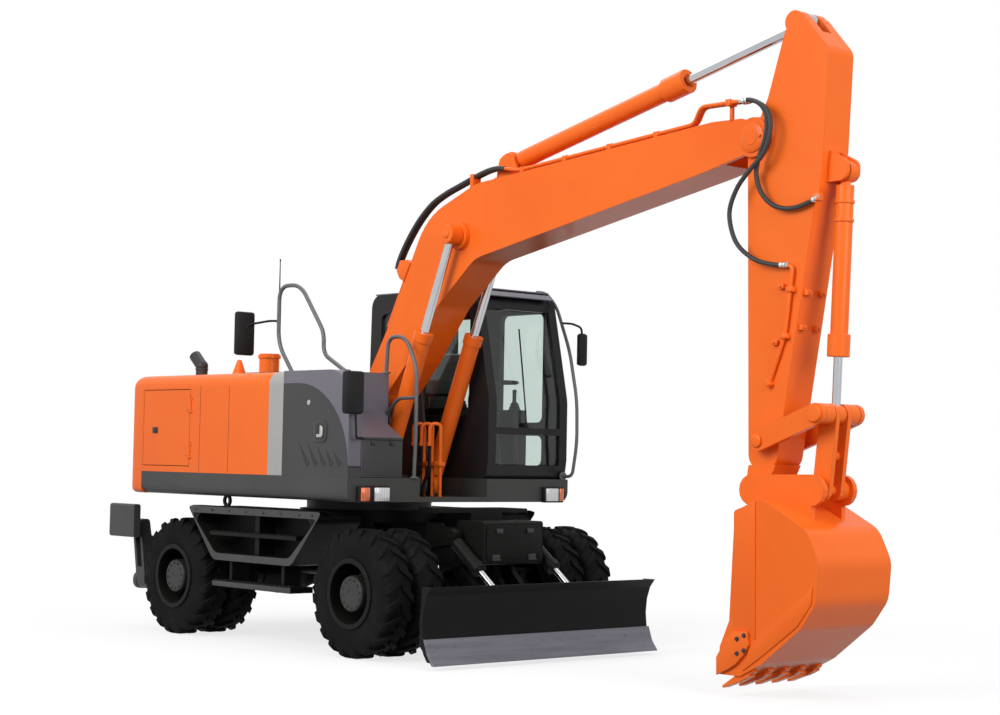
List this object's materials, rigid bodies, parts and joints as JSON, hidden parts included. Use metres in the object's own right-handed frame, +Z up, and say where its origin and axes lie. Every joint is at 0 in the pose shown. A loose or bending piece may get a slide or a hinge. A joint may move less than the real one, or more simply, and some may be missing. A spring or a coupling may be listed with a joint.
{
  "type": "wheeled excavator",
  "caption": "Orange wheeled excavator on twin tyres, with a dozer blade in front, folding stabilisers behind, a cab on the left and a one-piece boom, arm and bucket.",
  "frame": {"origin": "on the ground in the middle of the footprint of the machine with its boom parked forward", "axes": "+X forward to the bucket, +Y to the operator's left, +Z up"},
  "size_m": [7.9378, 2.72, 4.8674],
  "materials": {
    "orange_paint": "gloss",
    "black_paint": "satin",
    "dark_grey_paint": "satin",
    "mid_grey_paint": "satin",
    "light_grey_paint": "satin",
    "wear_steel": "worn",
    "chromed_rod": "polished",
    "tyre_rubber": "matte",
    "hose_rubber": "matte",
    "black_plastic": "matte",
    "lamp_plastic": "gloss",
    "seat_fabric": "woven",
    "window_glass": "clear"
  },
  "bodies": {
    "chassis": {"chassis_frame": "black_paint", "slew_ring": "wear_steel", "axles": "black_paint", "step_boxes": "black_paint", "front_locker": "black_paint", "stabiliser_beam": "black_paint"},
    "knuckle_left": {"knuckle_left": "black_paint"},
    "knuckle_right": {"knuckle_right": "black_paint"},
    "track_rod": {"track_rod": "black_paint"},
    "wheel_front_left": {"rims_front_left": "black_paint", "tyres_front_left": "tyre_rubber"},
    "wheel_front_right": {"rims_front_right": "black_paint", "tyres_front_right": "tyre_rubber"},
    "wheel_rear_left": {"rims_rear_left": "black_paint", "tyres_rear_left": "tyre_rubber"},
    "wheel_rear_right": {"rims_rear_right": "black_paint", "tyres_rear_right": "tyre_rubber"},
    "blade": {"dozer_blade": "black_paint", "blade_edge": "wear_steel"},
    "blade_barrels": {"blade_barrels": "black_paint"},
    "blade_rods": {"blade_rods": "chromed_rod"},
    "stabiliser_left": {"stabiliser_leg_left": "black_paint"},
    "stabiliser_right": {"stabiliser_leg_right": "black_paint"},
    "stabiliser_barrel_left": {"stabiliser_barrel_left": "black_paint"},
    "stabiliser_barrel_right": {"stabiliser_barrel_right": "black_paint"},
    "stabiliser_rod_left": {"stabiliser_rod_left": "chromed_rod"},
    "stabiliser_rod_right": {"stabiliser_rod_right": "chromed_rod"},
    "upper": {"upper_frame": "dark_grey_paint", "counterweight": "orange_paint", "engine_block": "dark_grey_paint", "house_panels": "orange_paint", "cover_strip": "light_grey_paint", "tank_cover": "dark_grey_paint", "tank_shroud": "mid_grey_paint", "tool_box": "mid_grey_paint", "exhaust_stack": "black_paint", "handrails": "dark_grey_paint", "mirrors": "black_plastic", "lamps": "lamp_plastic", "cab_shell": "black_paint", "cab_glass": "window_glass", "operator_seat": "seat_fabric", "cab_controls": "black_plastic"},
    "hood": {"engine_hood": "orange_paint"},
    "door_right": {"service_door_right": "orange_paint"},
    "door_left": {"service_door_left": "orange_paint"},
    "cab_door": {"cab_door": "black_paint", "door_glass": "window_glass"},
    "boom": {"boom": "orange_paint", "boom_hoses": "hose_rubber"},
    "boom_barrels": {"boom_barrels": "orange_paint"},
    "boom_rods": {"boom_rods": "chromed_rod"},
    "arm": {"arm": "orange_paint"},
    "arm_barrel": {"arm_barrel": "orange_paint"},
    "arm_rod": {"arm_rod": "chromed_rod"},
    "bucket_barrel": {"bucket_barrel": "orange_paint"},
    "bucket_rod": {"bucket_rod": "chromed_rod"},
    "idler_links": {"idler_links": "orange_paint"},
    "bucket_link": {"bucket_link": "orange_paint"},
    "bucket": {"bucket": "orange_paint"}
  },
  "joints": [
    {"name": "swing", "type": "hinge", "parent": "chassis", "child": "upper", "pos_m": [-1.58213, 0, 1.26], "axis": [0, 0, 1], "continuous": true},
    {"name": "boom_lift", "type": "hinge", "parent": "upper", "child": "boom", "pos_m": [-1.16213, -0.1, 2.25], "axis": [0, -1, 0], "range_deg": [-58, 30]},
    {"name": "boom_barrels_tilt", "type": "hinge", "parent": "upper", "child": "boom_barrels", "pos_m": [-0.93213, -0.1, 1.4], "axis": [0, -1, 0], "range_deg": [-42.5, 22.5]},
    {"name": "boom_rods_stroke", "type": "slide", "parent": "boom_barrels", "child": "boom_rods", "axis": [0.3831, 0, 0.9237], "range_m": [-0.65, 0.34]},
    {"name": "arm_swing", "type": "hinge", "parent": "boom", "child": "arm", "pos_m": [3.14, -0.1, 3.98818], "axis": [0, 1, 0], "range_deg": [-75, 27]},
    {"name": "arm_barrel_tilt", "type": "hinge", "parent": "boom", "child": "arm_barrel", "pos_m": [0.39795, -0.1, 4.08637], "axis": [0, 1, 0], "range_deg": [-5.5, 2.3]},
    {"name": "arm_rod_stroke", "type": "slide", "parent": "arm_barrel", "child": "arm_rod", "axis": [0.9751, 0, 0.2217], "range_m": [-1.02, 0.37]},
    {"name": "bucket_curl", "type": "hinge", "parent": "arm", "child": "bucket", "pos_m": [3.17103, -0.1, 1.44836], "axis": [0, 1, 0], "range_deg": [-28, 115]},
    {"name": "idler_links_swing", "type": "hinge", "parent": "arm", "child": "idler_links", "pos_m": [3.26075, -0.1, 1.79747], "axis": [0, 1, 0], "range_deg": [-25, 101]},
    {"name": "bucket_barrel_tilt", "type": "hinge", "parent": "arm", "child": "bucket_barrel", "pos_m": [3.84982, -0.1, 3.68948], "axis": [0, 1, 0], "range_deg": [-3, 9.5]},
    {"name": "bucket_rod_stroke", "type": "slide", "parent": "bucket_barrel", "child": "bucket_rod", "axis": [-0.04, 0, -0.9992], "range_m": [-0.19, 0.77]},
    {"name": "bucket_link_swing", "type": "hinge", "parent": "bucket", "child": "bucket_link", "pos_m": [3.72103, -0.1, 1.45836], "axis": [0, 1, 0], "range_deg": [-73.5, 18.5]},
    {"name": "blade_lift", "type": "hinge", "parent": "chassis", "child": "blade", "pos_m": [0.20787, 0, 0.44], "axis": [0, -1, 0], "range_deg": [-12, 25]},
    {"name": "blade_barrels_tilt", "type": "hinge", "parent": "chassis", "child": "blade_barrels", "pos_m": [0.05787, 0, 0.985], "axis": [0, -1, 0], "range_deg": [-5, 10]},
    {"name": "blade_rods_stroke", "type": "slide", "parent": "blade_barrels", "child": "blade_rods", "axis": [0.8042, 0, -0.5944], "range_m": [-0.17, 0.085]},
    {"name": "stabiliser_left_swing", "type": "hinge", "parent": "chassis", "child": "stabiliser_left", "pos_m": [-3.65713, 1.01, 0.42], "axis": [-1, 0, 0], "range_deg": [0, 110]},
    {"name": "stabiliser_barrel_left_tilt", "type": "hinge", "parent": "chassis", "child": "stabiliser_barrel_left", "pos_m": [-3.65713, 0.1, 0.79], "axis": [-1, 0, 0], "range_deg": [-0.5, 9]},
    {"name": "stabiliser_rod_left_stroke", "type": "slide", "parent": "stabiliser_barrel_left", "child": "stabiliser_rod_left", "axis": [0, 0.9962, -0.0872], "range_m": [-0.005, 0.525]},
    {"name": "stabiliser_right_swing", "type": "hinge", "parent": "chassis", "child": "stabiliser_right", "pos_m": [-3.65713, -1.01, 0.42], "axis": [1, 0, 0], "range_deg": [0, 110]},
    {"name": "stabiliser_barrel_right_tilt", "type": "hinge", "parent": "chassis", "child": "stabiliser_barrel_right", "pos_m": [-3.65713, -0.1, 0.79], "axis": [1, 0, 0], "range_deg": [-0.5, 9]},
    {"name": "stabiliser_rod_right_stroke", "type": "slide", "parent": "stabiliser_barrel_right", "child": "stabiliser_rod_right", "axis": [0, -0.9962, -0.0872], "range_m": [-0.005, 0.525]},
    {"name": "steer_left", "type": "hinge", "parent": "chassis", "child": "knuckle_left", "pos_m": [-0.23213, 0.62, 0.525], "axis": [0, 0, 1], "range_deg": [-28, 28]},
    {"name": "steer_right", "type": "hinge", "parent": "chassis", "child": "knuckle_right", "pos_m": [-0.23213, -0.62, 0.525], "axis": [0, 0, 1], "range_deg": [-28.5, 28.5]},
    {"name": "track_rod_swing", "type": "hinge", "parent": "knuckle_left", "child": "track_rod", "pos_m": [-0.49213, 0.58, 0.456], "axis": [0, 0, 1], "range_deg": [-28.5, 28.5]},
    {"name": "wheel_front_left_spin", "type": "hinge", "parent": "knuckle_left", "child": "wheel_front_left", "pos_m": [-0.23213, 0.9525, 0.525], "axis": [0, 1, 0], "continuous": true},
    {"name": "wheel_rear_left_spin", "type": "hinge", "parent": "chassis", "child": "wheel_rear_left", "pos_m": [-2.83213, 0.9525, 0.525], "axis": [0, 1, 0], "continuous": true},
    {"name": "wheel_front_right_spin", "type": "hinge", "parent": "knuckle_right", "child": "wheel_front_right", "pos_m": [-0.23213, -0.9525, 0.525], "axis": [0, 1, 0], "continuous": true},
    {"name": "wheel_rear_right_spin", "type": "hinge", "parent": "chassis", "child": "wheel_rear_right", "pos_m": [-2.83213, -0.9525, 0.525], "axis": [0, 1, 0], "continuous": true},
    {"name": "door_right_swing", "type": "hinge", "parent": "upper", "child": "door_right", "pos_m": [-2.63913, -1.24, 1.9], "axis": [0, 0, 1], "range_deg": [0, 95]},
    {"name": "door_left_swing", "type": "hinge", "parent": "upper", "child": "door_left", "pos_m": [-2.63913, 1.24, 1.9], "axis": [0, 0, -1], "range_deg": [0, 95]},
    {"name": "hood_lift", "type": "hinge", "parent": "upper", "child": "hood", "pos_m": [-2.13913, 0.19, 2.345], "axis": [0, 1, 0], "range_deg": [0, 60]},
    {"name": "cab_door_swing", "type": "hinge", "parent": "upper", "child": "cab_door", "pos_m": [-1.26513, 1.234, 2.25], "axis": [0, 0, 1], "range_deg": [0, 100]}
  ],
  "couplings": [
    {"joint": "boom_barrels_tilt", "follows": "boom_lift", "ratio": 0.72333},
    {"joint": "boom_rods_stroke", "follows": "boom_lift", "m_per_rad": 0.63495},
    {"joint": "arm_barrel_tilt", "follows": "arm_swing", "ratio": 0.0665},
    {"joint": "arm_rod_stroke", "follows": "arm_swing", "m_per_rad": 0.77079},
    {"joint": "idler_links_swing", "follows": "bucket_curl", "ratio": 0.87047},
    {"joint": "bucket_barrel_tilt", "follows": "bucket_curl", "ratio": 0.07573},
    {"joint": "bucket_rod_stroke", "follows": "bucket_curl", "m_per_rad": 0.37849},
    {"joint": "bucket_link_swing", "follows": "bucket_curl", "ratio": -0.63},
    {"joint": "blade_barrels_tilt", "follows": "blade_lift", "ratio": 0.36428},
    {"joint": "blade_rods_stroke", "follows": "blade_lift", "m_per_rad": -0.36674},
    {"joint": "stabiliser_barrel_left_tilt", "follows": "stabiliser_left_swing", "ratio": 0.07758},
    {"joint": "stabiliser_rod_left_stroke", "follows": "stabiliser_left_swing", "m_per_rad": 0.26928},
    {"joint": "stabiliser_barrel_right_tilt", "follows": "stabiliser_right_swing", "ratio": 0.07758},
    {"joint": "stabiliser_rod_right_stroke", "follows": "stabiliser_right_swing", "m_per_rad": 0.26928},
    {"joint": "steer_right", "follows": "steer_left", "ratio": 1},
    {"joint": "track_rod_swing", "follows": "steer_left", "ratio": -1}
  ]
}
